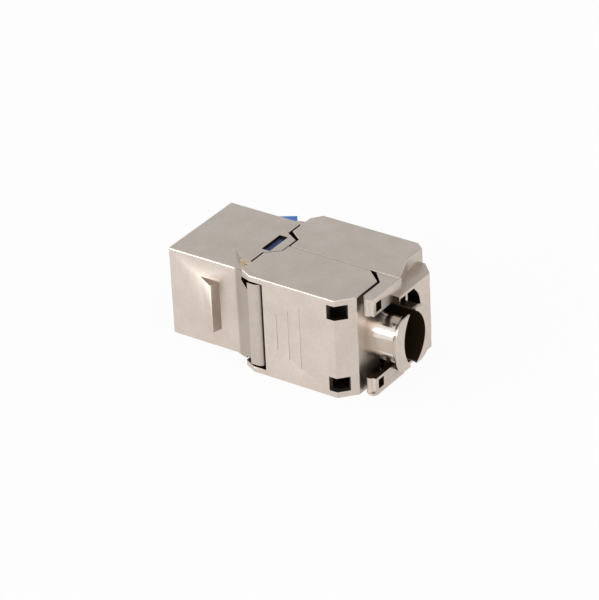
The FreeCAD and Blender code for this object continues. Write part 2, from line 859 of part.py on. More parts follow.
def half_outlet(body, side, name, start):
    """Add one half of the cable outlet: a sleeve, a flare, an end collar and the cable channel."""
    flare_start = "outlet_end - collar_length - flare_length"

    def section(inset, corner):
        edge = f"collar_{name} - {side} * ({inset})"
        top = f"collar_{name}_up - ({inset})"
        flat = f"{name}_split_y"
        return polygon(
            (flat, f"-({top})"), (edge, f"-({top})"), (edge, top), (flat, top),
            rounds={1: corner, 2: corner},
        )

    sleeve = section(f"sleeve_{name}_inset", f"sleeve_{name}_round")
    collar = section("0", f"collar_{name}_round")
    add(body, "YZ_Plane", start, f"{flare_start} - ({start})", sleeve)
    narrow = new_sketch(body, "YZ_Plane", flare_start, [sleeve])
    wide = new_sketch(body, "YZ_Plane", "outlet_end - collar_length", [collar])
    document.recompute()
    flare = body.newObject("PartDesign::AdditiveLoft", "Flare")
    flare.Profile = narrow
    flare.Sections = [wide]
    narrow.Visibility = False
    wide.Visibility = False
    document.recompute()
    add(body, "YZ_Plane", "outlet_end - collar_length", "collar_length", collar)
    cut(
        body, "YZ_Plane", "near_rear - fold_run", "outlet_end",
        circle(f"channel_{name}_middle", "0", f"channel_{name}_radius"),
    )


def far_wing():
    """Hinged wing at the latch side: end block, half outlet and the tongues that lock the wings."""
    body = new_body("far_wing")
    front_notch = "tab_root_far - tab_slope_far * (wing_front - plate_end) + far_notch_gap"
    end_notch = "tab_end_far - tab_slope_far * far_notch_end_gap + far_notch_narrow"
    shell = add(
        body, "XY_Plane", None, "2 * wing_half",
        polygon(
            ("wing_front", f"{front_notch}"),
            ("tab_end + far_notch_end_gap", f"{end_notch}"),
            ("tab_end + far_notch_end_gap", "seam_half"),
            ("far_tail", "seam_half"),
            ("far_rear", "tail_across"),
            ("far_rear", "wing_y - far_corner_drop"),
            ("far_rear - far_corner_run", "wing_y"),
            ("wing_front + far_ear_run", "wing_y"),
            ("wing_front", "wing_y - far_ear_drop"),
        ),
    )
    round_edges(body, shell, "wing_round")
    cut(
        body, "XY_Plane", None, "2 * wing_inner",
        polygon(
            ("case_length - wing_wall", "-wing_wall"),
            ("far_rear - far_rear_wall", "-wing_wall"),
            ("far_rear - far_rear_wall", "wing_y - far_corner_drop - wing_wall / 2"),
            ("far_rear - far_corner_run - wing_wall / 2", "wing_inner_y"),
            ("wall_start", "wing_inner_y"),
            ("wall_start", "wing_y + wing_wall"),
            ("case_length - wing_wall", "wing_y + wing_wall"),
        ),
    )
    add(
        body, "XY_Plane", None, "2 * block_half",
        polygon(
            ("far_rear - far_rear_wall", "far_split_y"),
            ("block_x", "far_split_y"),
            ("block_x", "block_y - block_corner"),
            ("block_x - block_corner", "block_y"),
            ("far_rear - far_rear_wall", "block_y"),
        ),
    )
    above_and_below(
        add, body, "block_lip_low", "block_half",
        rectangle("far_rear", "block_x", "block_near", "far_split_y + block_lip_out"),
    )
    above_and_below(
        add, body, "tongue_top - tongue_plate", "tongue_top",
        polygon(
            ("near_rear - lip_run + tongue_lip_gap", "0.5 * wing_wall"),
            ("near_rear - lip_run + tongue_lip_gap", "seam_half"),
            ("tongue_front", "-lip_across + seam_half"),
            ("tongue_front", "-tongue_reach + tongue_tip_depth"),
            ("tongue_front + tongue_tip_run", "-tongue_reach"),
            ("far_tail - tip_end_run", "-tongue_reach"),
            ("far_tail", "-tongue_reach + tongue_tip_depth"),
            ("far_tail", "0.5 * wing_wall"),
        ),
    )
    above_and_below(
        add, body, "tongue_low", "tongue_top - tongue_plate / 2",
        rectangle("far_tail - tongue_wall", "far_tail", "-wall_end", "0.5 * wing_wall"),
    )
    above_and_below(
        add, body, "tongue_low", "tongue_top - tongue_plate / 2",
        circle("far_tail - nose_place", "-tongue_reach + nose_radius", "nose_radius"),
    )
    above_and_below(
        cut, body, "slot_low", "slot_high",
        rectangle("far_tail - 2 * tongue_wall", "far_tail + tongue_wall", "-slot_near", "-slot_far"),
    )
    cut_recesses(body)
    half_outlet(body, 1, "far", "far_rear")
    cut_grooves(body, 1)
    add_trunnions(body, 1)
    return body


def cut_recesses(body):
    """Cut the two quarter-round recesses beside the collar in the end block, with a rib across each."""
    for side in (-1, 1):
        cut(
            body, "YZ_Plane", "block_x - recess_depth", "recess_depth",
            polygon(
                ("block_near + recess_wall", f"{side} * recess_low"),
                ("-outlet_offset + recess_across", f"{side} * recess_low"),
                ("-outlet_offset + recess_shoulder_across", f"{side} * recess_shoulder_up"),
                ("-outlet_offset + recess_crown", f"{side} * recess_top"),
                ("block_near + recess_wall", f"{side} * recess_top"),
                rounds={2: "recess_round"},
            ),
        )
        add(
            body, "YZ_Plane", "far_rear", "block_length - recess_rib_setback",
            rectangle(
                "far_split_y + recess_rib_place", "far_split_y + recess_rib_place + recess_rib",
                f"{side} * recess_low", f"{side} * (recess_top + recess_wall)",
            ),
        )


def build():
    """Build every sub-part and return the bodies."""
    fill_sheet()
    bodies = [front_housing(), keystone_latch(), port_insert()]
    bodies += [spring_contact(n) for n in range(CONTACTS)]
    bodies += [shield_spring("shield_spring_lower", -1), shield_spring("shield_spring_upper", 1)]
    bodies += [circuit_board(), terminal_block()]
    places = [(row, up) for row in FORK_ROWS for up in fork_heights()]
    bodies += [fork(n, row, up) for n, (row, up) in enumerate(places, start=1)]
    bodies += [wire_cap(), near_wing(), far_wing()]
    document.recompute()
    return bodies


def check(bodies):
    """Stop if any object of the document failed or a sub-part is not one valid solid."""
    for item in document.Objects:
        if {"Invalid", "Error"} & set(item.State):
            raise RuntimeError(f"{item.Label} ({item.Name}) failed: {item.State}")
    for body in bodies:
        if body.Shape.isNull() or not body.Shape.isValid() or len(body.Shape.Solids) != 1:
            raise RuntimeError(f"{body.Label} is not one valid solid")


def export(bodies):
    """Write each sub-part to its own STEP file."""
    os.makedirs("parts", exist_ok=True)
    for body in bodies:
        body.Shape.exportStep(f"parts/{body.Label}.step")


sub_parts = build()
check(sub_parts)
export(sub_parts)
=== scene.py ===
"""The look of a shielded keystone jack, dressed around its fixed mechanical frame.

+X runs from the port face to the cable outlet, +Y points to the sprung latch, +Z is up. Everything is in metres.
"""

import logging
import math
from dataclasses import dataclass
from enum import Enum

import bmesh
import bpy
import numpy as np
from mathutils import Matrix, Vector
from mathutils.bvhtree import BVHTree


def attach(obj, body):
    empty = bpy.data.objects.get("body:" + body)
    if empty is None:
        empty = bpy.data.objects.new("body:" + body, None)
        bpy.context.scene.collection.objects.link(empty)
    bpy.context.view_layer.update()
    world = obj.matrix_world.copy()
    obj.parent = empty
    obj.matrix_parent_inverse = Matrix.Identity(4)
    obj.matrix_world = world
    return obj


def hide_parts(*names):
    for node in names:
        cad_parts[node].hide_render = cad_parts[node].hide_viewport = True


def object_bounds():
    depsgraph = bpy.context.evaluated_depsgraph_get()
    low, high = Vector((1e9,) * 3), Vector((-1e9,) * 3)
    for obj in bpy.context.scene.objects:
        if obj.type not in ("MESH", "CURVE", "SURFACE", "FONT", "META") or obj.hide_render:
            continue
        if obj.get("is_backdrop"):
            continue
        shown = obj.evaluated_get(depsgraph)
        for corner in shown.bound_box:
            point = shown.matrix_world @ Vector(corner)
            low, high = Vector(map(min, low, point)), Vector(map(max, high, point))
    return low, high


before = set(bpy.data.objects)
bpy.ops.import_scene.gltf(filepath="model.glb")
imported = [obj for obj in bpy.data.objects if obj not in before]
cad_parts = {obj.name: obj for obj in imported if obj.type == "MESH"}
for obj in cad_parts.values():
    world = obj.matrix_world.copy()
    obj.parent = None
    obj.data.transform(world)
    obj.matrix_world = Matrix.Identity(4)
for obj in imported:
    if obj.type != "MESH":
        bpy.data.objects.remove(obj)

LOG = logging.getLogger("keystone_jack")
MM = 0.001
OPENNESS = "openness"
SAME_PLACE = 0.002 * MM
SAME_PLANE = math.radians(0.6)
# A mix node keeps its inputs for numbers and for colours side by side, so they are told apart by place.
MIX_NUMBERS = (2, 3)
MIX_COLOURS = (6, 7)
MIX_NUMBER_OUT = 0
MIX_COLOUR_OUT = 2
Colour = tuple[float, float, float]
Stretch = tuple[float, float, float]
Range = tuple[float, float]
Socket = bpy.types.NodeSocket


class Body(Enum):
    """The bodies of the frame that pieces ride on."""

    HOUSING = "housing"
    NEAR_WING = "near_wing"
    FAR_WING = "far_wing"
    LATCH = "keystone_latch"


class Slot(Enum):
    """The material slots of the record."""

    NICKEL = "nickel_plate"
    LATCH = "latch_plastic"
    GUIDE = "guide_plastic"
    CAP = "cap_plastic"
    BOARD = "board_laminate"
    CONTACT = "contact_gold"
    FORK = "fork_tin"
    SPRING = "spring_strip"


class Recipe:
    """A material under construction: a Principled surface and the nodes that feed it."""

    def __init__(self, name: str) -> None:
        """Start an empty node tree with a Principled surface.

        Args:
            name: the material's name.
        """
        self.material = bpy.data.materials.new(name)
        self.material.use_nodes = True
        self.tree = self.material.node_tree
        self.surface = next(n for n in self.tree.nodes if n.type == "BSDF_PRINCIPLED")
        self.place = self.tree.nodes.new("ShaderNodeTexCoord").outputs["Object"]

    def fixed(self, **values: float | tuple) -> None:
        """Set sockets of the surface by name, with underscores for spaces."""
        for name, value in values.items():
            self.surface.inputs[name.replace("_", " ")].default_value = value

    def noise(self, grain: float, detail: float = 2.0, stretch: Stretch | None = None) -> Socket:
        """Return a cloudy value between 0 and 1.

        Args:
            grain: the size of one cloud, in metres.
            detail: how many finer octaves are added.
            stretch: how much longer the clouds are along X, Y and Z.

        Returns:
            The value's socket.
        """
        node = self.tree.nodes.new("ShaderNodeTexNoise")
        node.inputs["Scale"].default_value = 1.0 / grain
        node.inputs["Detail"].default_value = detail
        place = self.place
        if stretch is not None:
            mapping = self.tree.nodes.new("ShaderNodeMapping")
            mapping.inputs["Scale"].default_value = tuple(1.0 / s for s in stretch)
            self.link(place, mapping.inputs["Vector"])
            place = mapping.outputs["Vector"]
        self.link(place, node.inputs["Vector"])
        return node.outputs["Fac"]

    def link(self, source: Socket, target: Socket) -> None:
        """Join two sockets."""
        self.tree.links.new(source, target)

    def attribute(self, name: str) -> Socket:
        """Return the piece's own value of the given name."""
        node = self.tree.nodes.new("ShaderNodeAttribute")
        node.attribute_name = name
        return node.outputs["Fac"]

    def along(self, axis: str) -> Socket:
        """Return the place along X, Y or Z, in metres."""
        node = self.tree.nodes.new("ShaderNodeSeparateXYZ")
        self.link(self.place, node.inputs[0])
        return node.outputs[axis]

    def times(self, first: Socket, second: Socket) -> Socket:
        """Return the product of two values."""
        node = self.tree.nodes.new("ShaderNodeMath")
        node.operation = "MULTIPLY"
        self.link(first, node.inputs[0])
        self.link(second, node.inputs[1])
        return node.outputs[0]

    def mixer(self, kind: str) -> bpy.types.Node:
        """Return a new mix node for the given kind of value, FLOAT or RGBA."""
        node = self.tree.nodes.new("ShaderNodeMix")
        node.data_type = kind
        return node

    def far_from_middle(self) -> Socket:
        """Return how far the place is from the middle plane, to either side across, in metres."""
        node = self.tree.nodes.new("ShaderNodeMath")
        node.operation = "ABSOLUTE"
        self.link(self.along("Y"), node.inputs[0])
        return node.outputs[0]

    def eased_to(self, first: Socket, second: Socket, share: float) -> Socket:
        """Return the value first, drawn to the value second by the given share."""
        node = self.mixer("FLOAT")
        node.inputs["Factor"].default_value = share
        for value, place in zip((first, second), MIX_NUMBERS):
            self.link(value, node.inputs[place])
        return node.outputs[MIX_NUMBER_OUT]

    def from_cable_line(self, across: float) -> Socket:
        """Return the distance from the line along X at height zero and the given place across, in metres."""
        flat = self.tree.nodes.new("ShaderNodeVectorMath")
        flat.operation = "MULTIPLY_ADD"
        flat.inputs[1].default_value = (0.0, 1.0, 1.0)
        flat.inputs[2].default_value = (0.0, -across, 0.0)
        self.link(self.place, flat.inputs[0])
        length = self.tree.nodes.new("ShaderNodeVectorMath")
        length.operation = "LENGTH"
        self.link(flat.outputs[0], length.inputs[0])
        return length.outputs["Value"]

    def layered(self, share: Socket, under: Socket, over: Colour) -> Socket:
        """Return the colour under, covered by the colour over as far as share says."""
        node = self.mixer("RGBA")
        self.link(share, node.inputs["Factor"])
        self.link(under, node.inputs[MIX_COLOURS[0]])
        node.inputs[MIX_COLOURS[1]].default_value = (*over, 1.0)
        return node.outputs[MIX_COLOUR_OUT]

    def eased(self, share: Socket, under: Socket, over: float) -> Socket:
        """Return the value under, drawn to the number over as far as share says."""
        node = self.mixer("FLOAT")
        self.link(share, node.inputs["Factor"])
        self.link(under, node.inputs[MIX_NUMBERS[0]])
        node.inputs[MIX_NUMBERS[1]].default_value = over
        return node.outputs[MIX_NUMBER_OUT]

    def spread(self, value: Socket, low: float, high: float,
               start: float = 0.0, end: float = 1.0) -> Socket:
        """Return value carried from the range start to end onto the range low to high, held at both ends."""
        node = self.tree.nodes.new("ShaderNodeMapRange")
        self.link(value, node.inputs["Value"])
        for name, number in (("From Min", start), ("From Max", end), ("To Min", low), ("To Max", high)):
            node.inputs[name].default_value = number
        return node.outputs["Result"]

    def blend(self, share: Socket, first: Colour, second: Colour) -> Socket:
        """Return the colour that is the first where share is 0 and the second where it is 1."""
        node = self.mixer("RGBA")
        self.link(share, node.inputs["Factor"])
        for colour, place in zip((first, second), MIX_COLOURS):
            node.inputs[place].default_value = (*colour, 1.0)
        return node.outputs[MIX_COLOUR_OUT]

    def step(self, value: Socket, place: float, width: float) -> Socket:
        """Return a value that rises from 0 at the given place to 1 at that place plus the width."""
        return self.spread(value, 0.0, 1.0, place, place + width)

    def drop(self, value: Socket, place: float, width: float) -> Socket:
        """Return a value that falls from 1 at the given place to 0 at that place plus the width."""
        return self.spread(value, 1.0, 0.0, place, place + width)

    def relief(self, height: Socket, depth: float) -> None:
        """Feed the surface's normal from a bump, whose height is between 0 and 1 and depth in metres."""
        node = self.tree.nodes.new("ShaderNodeBump")
        node.inputs["Distance"].default_value = depth
        self.link(height, node.inputs["Height"])
        self.link(node.outputs["Normal"], self.surface.inputs["Normal"])


@dataclass(frozen=True)
class SatinNickel:
    """Nickel plating over a die casting: satin warm grey outside, polished on the cable collar.

    Faces that are shut in, within the casting and deep in its gaps, are painted dark as painted shade, and corners
    get a lighter painted shade;
    where a neck colour is given, the necks get painted shade too, and the collar's lighter colour is partly painted
    sheen over its real polished finish.
    """

    bright: Colour = (0.735, 0.647, 0.577)
    dull: Colour = (0.64, 0.55, 0.48)
    # Painted shade for faces that are shut in.
    inside_painted_shade: Colour = (0.062, 0.038, 0.022)
    # Painted shade for corners.
    corner: Colour = (0.40, 0.33, 0.27)
    # The collar's polished colour, lifted lighter by painted sheen.
    polish_and_painted_sheen: Colour = (0.82, 0.755, 0.70)
    # Painted shade on the necks, weaker on the columns beside them.
    hinge: Colour | None = None
    neck_share: float = 0.85
    column_share: float = 0.5
    hinge_start: float = 11.88 * MM
    hinge_fade: float = 0.05 * MM
    neck_place: float = 8.05 * MM
    neck_fade: float = 0.1 * MM
    column_place: float = 9.7 * MM
    column_fade: float = 0.3 * MM
    roughness: Range = (0.31, 0.39)
    polished: float = 0.18
    roughness_in_painted_shade: float = 0.55
    cloud: float = 3.0 * MM
    cloud_middle: Range = (0.3, 0.7)
    fleck: float = 0.45 * MM
    fleck_middle: Range = (0.32, 0.68)
    fleck_share: float = 0.45
    grain: float = 0.2 * MM
    grain_middle: Range = (0.3, 0.7)
    depth: float = 0.007 * MM
    open_from: float = 0.42
    open_to: float = 0.56
    corner_to: float = 0.85
    corner_share: float = 0.5
    collar_line: float = -1.43 * MM
    collar_outside: float = 5.3 * MM
    collar_outside_fade: float = 0.4 * MM
    collar_from: float = 32.9 * MM
    collar_from_fade: float = 1.0 * MM
    collar_to: float = 38.05 * MM
    collar_to_fade: float = 0.15 * MM

    def on_collar(self, mix: Recipe) -> Socket:
        """Return how far the place is on the outside of the cable collar, from 0 to 1."""
        along = mix.along("X")
        return mix.times(
            mix.drop(mix.from_cable_line(self.collar_line), self.collar_outside, self.collar_outside_fade),
            mix.times(
                mix.step(along, self.collar_from, self.collar_from_fade),
                mix.drop(along, self.collar_to, self.collar_to_fade),
            ),
        )

    def hinge_painted_shade_share(self, mix: Recipe) -> Socket:
        """Return how far the place is in the painted shade of the necks, weaker on the columns beside them."""
        across = mix.far_from_middle()
        return mix.times(
            mix.spread(mix.along("X"), 0.0, self.neck_share, self.hinge_start, self.hinge_start + self.hinge_fade),
            mix.times(
                mix.step(across, self.neck_place, self.neck_fade),
                mix.spread(across, 1.0, self.column_share, self.column_place, self.column_place + self.column_fade),
            ),
        )

    def material(self, name: str) -> bpy.types.Material:
        """Return the finish as a material with the given name."""
        mix = Recipe(name)
        mix.fixed(Metallic=1.0)
        openness = mix.attribute(OPENNESS)
        # Painted shade: the less open a face is, the darker its colour.
        painted_shade_share = mix.spread(openness, 1.0, 0.0, self.open_from, self.open_to)
        # A lighter painted shade for faces in corners.
        corner_painted_shade_share = mix.spread(openness, self.corner_share, 0.0, self.open_to, self.corner_to)
        collar = self.on_collar(mix)
        clouds = mix.spread(mix.noise(self.cloud, 2.0), 0.0, 1.0, *self.cloud_middle)
        flecks = mix.spread(mix.noise(self.fleck, 3.0), 0.0, 1.0, *self.fleck_middle)
        plating = mix.blend(mix.eased_to(clouds, flecks, self.fleck_share), self.dull, self.bright)
        # The collar's lighter colour is partly painted sheen; its lower roughness is its real polish.
        plating = mix.layered(collar, plating, self.polish_and_painted_sheen)
        plating = mix.layered(corner_painted_shade_share, plating, self.corner)
        # Painted shade on the necks.
        if self.hinge is not None:
            plating = mix.layered(self.hinge_painted_shade_share(mix), plating, self.hinge)
        mix.link(mix.layered(painted_shade_share, plating, self.inside_painted_shade), mix.surface.inputs["Base Color"])
        grain = mix.noise(self.grain, 2.0)
        rough = mix.eased(collar, mix.spread(grain, *self.roughness, *self.grain_middle), self.polished)
        mix.link(mix.eased(painted_shade_share, rough, self.roughness_in_painted_shade), mix.surface.inputs["Roughness"])
        mix.relief(grain, self.depth)
        return mix.material


@dataclass(frozen=True)
class Moulding:
    """Injection-moulded plastic: one colour with faint flow clouds and a fine skin."""

    colour: Colour
    flow: Colour
    roughness: float = 0.38
    sheen_change: float = 0.05
    run: Stretch = (2.0, 1.0, 1.0)
    cloud: float = 2.5 * MM
    grain: float = 0.12 * MM
    depth: float = 0.003 * MM

    def material(self, name: str) -> bpy.types.Material:
        """Return the finish as a material with the given name."""
        mix = Recipe(name)
        clouds = mix.noise(self.cloud, 2.0, stretch=self.run)
        mix.link(mix.blend(clouds, self.colour, self.flow), mix.surface.inputs["Base Color"])
        grain = mix.noise(self.grain, 1.0)
        low, high = self.roughness - self.sheen_change, self.roughness + self.sheen_change
        mix.link(mix.spread(grain, low, high), mix.surface.inputs["Roughness"])
        mix.relief(grain, self.depth)
        return mix.material


@dataclass(frozen=True)
class DrawnMetal:
    """Drawn or stamped plated metal: streaks along its length and a bright skin."""

    bright: Colour
    dull: Colour
    roughness: Range = (0.18, 0.3)
    streak: float = 0.08 * MM
    draw: Stretch = (14.0, 1.0, 1.0)
    depth: float = 0.001 * MM

    def material(self, name: str) -> bpy.types.Material:
        """Return the finish as a material with the given name."""
        mix = Recipe(name)
        mix.fixed(Metallic=1.0)
        streaks = mix.noise(self.streak, 2.0, stretch=self.draw)
        mix.link(mix.blend(streaks, self.dull, self.bright), mix.surface.inputs["Base Color"])
        mix.link(mix.spread(streaks, *self.roughness), mix.surface.inputs["Roughness"])
        mix.relief(streaks, self.depth)
        return mix.material


@dataclass(frozen=True)
class Laminate:
    """Solder-masked board: green over a faint glass weave."""

    mask: Colour = (0.015, 0.11, 0.045)
    thin: Colour = (0.03, 0.17, 0.07)
    weave: float = 0.35 * MM
    roughness: float = 0.32
    depth: float = 0.002 * MM

    def material(self, name: str) -> bpy.types.Material:
        """Return the finish as a material with the given name."""
        mix = Recipe(name)
        mix.fixed(Roughness=self.roughness)
        threads = mix.tree.nodes.new("ShaderNodeTexChecker")
        threads.inputs["Scale"].default_value = 1.0 / self.weave
        mix.link(mix.place, threads.inputs["Vector"])
        mix.link(mix.blend(threads.outputs["Fac"], self.mask, self.thin), mix.surface.inputs["Base Color"])
        mix.relief(threads.outputs["Fac"], self.depth)
        return mix.material


def dress(node: str, material: bpy.types.Material) -> None:
    """Give a node of the frame its material in all its slots."""
    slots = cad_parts[node].data.materials
    if not slots:
        slots.append(material)
    for n in range(len(slots)):
        slots[n] = material


@dataclass
class Surroundings:
    """The whole jack at rest, as a place to ask how open a face is."""

    rays: int = 48
    reach: float = 9.0 * MM
    lift: float = 0.09 * MM
    broad: float = 1.0 * MM * MM
    speck: float = 1e-14
    groove_depth: float = 0.1 * MM
    groove_share: float = 0.8
    collar_line: float = -1.43 * MM
    collar_reach: float = 5.4 * MM
    collar_from: float = 32.9 * MM
    outside_lean: float = 0.3
    bore_factor: float = 0.6
    wall_place: float = 32.76 * MM
    wall_slack: float = 0.1 * MM
    wall_lean: float = 0.9
    wall_share: float = 0.62

    def __post_init__(self) -> None:
        """Gather every node of the frame into one tree, and spread the rays over a hemisphere.

        Ray n of N leans from the pole by acos(sqrt(1 - (n + 0.5) / N)), which gives flat ones less weight, and turns
        round it by n golden angles.
        """
        points, faces = [], []
        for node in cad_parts.values():
            mesh = node.data
            start = len(points)
            points.extend(v.co.copy() for v in mesh.vertices)
            faces.extend(tuple(start + i for i in f.vertices) for f in mesh.polygons)
        self.tree = BVHTree.FromPolygons(points, faces)
        n = np.arange(self.rays)
        up = np.sqrt(1.0 - (n + 0.5) / self.rays)
        flat = np.sqrt(1.0 - up**2)
        turn = n * math.pi * (3.0 - math.sqrt(5.0))
        self.dome = np.stack([flat * np.cos(turn), flat * np.sin(turn), up], axis=1)

    def openness(self, place: Vector, normal: Vector) -> float:
        """Return the share of the rays from a place on a face that meet nothing.

        Args:
            place: the place, in metres.
            normal: the face's outward direction.

        Returns:
            A share between 0, shut in, and 1, open.
        """
        side = normal.orthogonal().normalized()
        axes = np.array([side, normal.cross(side), normal])
        start = place + normal * self.lift
        free = sum(self.tree.ray_cast(start, Vector(ray), self.reach)[0] is None for ray in self.dome @ axes)
        return free / self.rays

    def mark(self, mesh: bpy.types.Mesh) -> None:
        """Keep on each face its openness, the mean over the triangles that fill it, weighted by their areas.

        Args:
            mesh: the mesh to mark.
        """
        mesh.calc_loop_triangles()
        total = np.zeros(len(mesh.polygons))
        weight = np.zeros(len(mesh.polygons))
        for triangle in mesh.loop_triangles:
            a, b, c = (mesh.vertices[n].co for n in triangle.vertices)
            area = triangle.area + self.speck
            places = [(a + b + c) / 3.0]
            if area > self.broad:
                places += [(4.0 * a + b + c) / 6.0, (a + 4.0 * b + c) / 6.0, (a + b + 4.0 * c) / 6.0]
            mean = sum(self.openness(place, triangle.normal) for place in places) / len(places)
            total[triangle.polygon_index] += area * mean
            weight[triangle.polygon_index] += area
        share = total / weight
        # These shares set how much painted shade each face gets.
        self.shade_about_collar(mesh, share)
        self.ease_groove_shade(mesh, share)
        values = mesh.attributes.new(OPENNESS, "FLOAT", "FACE")
        values.data.foreach_set("value", share)

    def shade_about_collar(self, mesh: bpy.types.Mesh, share: np.ndarray) -> None:
        """Change the shares about the cable collar, which is polished: the outside of its near half is kept clear of
        painted shade, and the painted shade in its bore is deepened.

        A face looks outwards by the part of its normal that points away from the cable's line. The wall that the
        near half of the collar stands on is kept out of the darkest painted shade as well.

        Args:
            mesh: the mesh to mark.
            share: the openness of each face, changed in place.
        """
        centre = np.array([face.center for face in mesh.polygons])
        normal = np.array([face.normal for face in mesh.polygons])
        out = (centre - np.array([0.0, self.collar_line, 0.0])) * np.array([0.0, 1.0, 1.0])
        away = np.linalg.norm(out, axis=1) + 1e-9
        outward = np.sum(out * normal, axis=1) / away
        about = (away < self.collar_reach) & (centre[:, 0] > self.collar_from)
        near = centre[:, 1] < self.collar_line
        share[about & near & (outward > self.outside_lean)] = 1.0
        share[about & (outward < -self.outside_lean)] *= self.bore_factor
        on_wall = np.abs(centre[:, 0] - self.wall_place) < self.wall_slack
        wall = near & on_wall & (normal[:, 0] > self.wall_lean)
        share[wall] = np.maximum(share[wall], self.wall_share)

    def ease_groove_shade(self, mesh: bpy.types.Mesh, share: np.ndarray) -> None:
        """Raise the shares of the shallow grip grooves in the piece's near and far sides, so that they get less
        painted shade.

        Args:
            mesh: the mesh to mark.
            share: the openness of each face, changed in place.
        """
        across = np.array([vertex.co.y for vertex in mesh.vertices])
        for n, face in enumerate(mesh.polygons):
            depth = across[list(face.vertices)]
            under = min(depth.min() - across.min(), across.max() - depth.max())
            if np.ptp(depth) < self.groove_depth and under < self.groove_depth:
                share[n] = max(share[n], self.groove_share)


def softened(node: str, body: Body, material: bpy.types.Material, edge: float,
             crease: float = 38.0, steps: int = 2, around: Surroundings | None = None) -> bpy.types.Object:
    """Stand a copy of a node in its place with its sharp edges rounded over.

    Args:
        node: the node of the frame to copy.
        body: the body that the copy rides on.
        material: its material.
        edge: the width of the rounding, in metres.
        crease: edges sharper than this many degrees are rounded.
        steps: the faces across each rounding.
        around: where given, each face keeps how open it is to the room as its value "openness".

    Returns:
        The new piece.
    """
    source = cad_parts[node].data
    mesh = bpy.data.meshes.new(f"{node}_skin")
    work = bmesh.new()
    work.from_mesh(source)
    bmesh.ops.remove_doubles(work, verts=work.verts, dist=SAME_PLACE)
    bmesh.ops.dissolve_limit(work, angle_limit=SAME_PLANE, verts=work.verts, edges=work.edges)
    for face in work.faces:
        face.smooth = True
    work.to_mesh(mesh)
    work.free()
    mesh.materials.clear()
    mesh.materials.append(material)
    if around is not None:
        around.mark(mesh)
    mesh.set_sharp_from_angle(angle=math.radians(crease))
    piece = bpy.data.objects.new(f"{node}_skin", mesh)
    bpy.context.scene.collection.objects.link(piece)
    bevel = piece.modifiers.new("edges", "BEVEL")
    bevel.width = edge
    bevel.segments = steps
    bevel.limit_method = "ANGLE"
    bevel.angle_limit = math.radians(crease)
    bevel.harden_normals = True
    bevel.use_clamp_overlap = True
    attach(piece, body.value)
    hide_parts(node)
    LOG.info("piece %s stands for %s", piece.name, node)
    return piece


@dataclass
class Casting:
    """The nickel-plated castings: the housing and the two wings."""

    edge: float = 0.1 * MM
    wing: SatinNickel = SatinNickel()
    # The housing's necks get painted shade.
    case: SatinNickel = SatinNickel(hinge=(0.44, 0.38, 0.325))

    def build(self) -> None:
        """Stand a softened skin in the place of each casting."""
        around = Surroundings()
        wing = self.wing.material("satin_nickel")
        case = self.case.material("satin_nickel_case")
        for node, body, finish in (
            ("front_housing", Body.HOUSING, case),
            ("near_wing", Body.NEAR_WING, wing),
            ("far_wing", Body.FAR_WING, wing),
        ):
            softened(node, body, finish, self.edge, around=around)


@dataclass
class Latch:
    """The sprung panel latch."""

    edge: float = 0.12 * MM
    finish: Moulding = Moulding((0.035, 0.18, 0.56), (0.045, 0.21, 0.62), roughness=0.34)

    def build(self) -> None:
        """Stand a softened skin in the place of the latch."""
        softened("keystone_latch", Body.LATCH, self.finish.material("latch_blue"), self.edge)


@dataclass
class Port:
    """The plug guide with its contacts and shield springs."""

    guide: Moulding = Moulding((0.012, 0.024, 0.095), (0.015, 0.03, 0.12))
    gold: DrawnMetal = DrawnMetal((0.90, 0.66, 0.28), (0.80, 0.56, 0.21))
    strip: DrawnMetal = DrawnMetal((0.80, 0.77, 0.73), (0.70, 0.67, 0.63))

    def build(self) -> None:
        """Dress the guide, the contacts and the springs."""
        dress("port_insert", self.guide.material("guide_navy"))
        gilt = self.gold.material("contact_gilt")
        strip = self.strip.material("spring_nickel")
        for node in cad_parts:
            if node.startswith("contact_"):
                dress(node, gilt)
            if node.startswith("shield_spring"):
                dress(node, strip)


@dataclass
class Termination:
    """The board, the slotted block, the forks and the cap behind the port."""

    block: Moulding = Moulding((0.012, 0.024, 0.095), (0.015, 0.03, 0.12))
    cap: Moulding = Moulding((0.018, 0.016, 0.016), (0.026, 0.023, 0.022), roughness=0.5)
    tin: DrawnMetal = DrawnMetal((0.78, 0.77, 0.74), (0.66, 0.65, 0.63))

    def build(self) -> None:
        """Dress each piece of the wire termination."""
        dress("circuit_board", Laminate().material("board_green"))
        dress("terminal_block", self.block.material("block_navy"))
        dress("wire_cap", self.cap.material("cap_black"))
        tin = self.tin.material("fork_tin")
        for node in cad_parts:
            if node.startswith("fork_"):
                dress(node, tin)


@dataclass(frozen=True)
class Lamp:
    """A soft rectangular lamp that faces the jack.

    Toward is the direction from the jack to the lamp, size its width and height in metres, and strength the
    brightness of its face, where 1 is white.
    """

    name: str
    toward: tuple[float, float, float]
    size: tuple[float, float]
    strength: float
    middle: tuple[float, float, float] = (0.019, 0.0, 0.0)
    distance: float = 0.6

    def hang(self) -> None:
        """Hang the lamp in the scene."""
        data = bpy.data.lights.new(self.name, "AREA")
        data.shape = "RECTANGLE"
        data.size, data.size_y = self.size
        data.energy = self.strength * math.pi * self.size[0] * self.size[1]
        lamp = bpy.data.objects.new(self.name, data)
        aim = Vector(self.toward).normalized()
        lamp.location = Vector(self.middle) + aim * self.distance
        lamp.rotation_euler = aim.to_track_quat("Z", "Y").to_euler()
        bpy.context.scene.collection.objects.link(lamp)


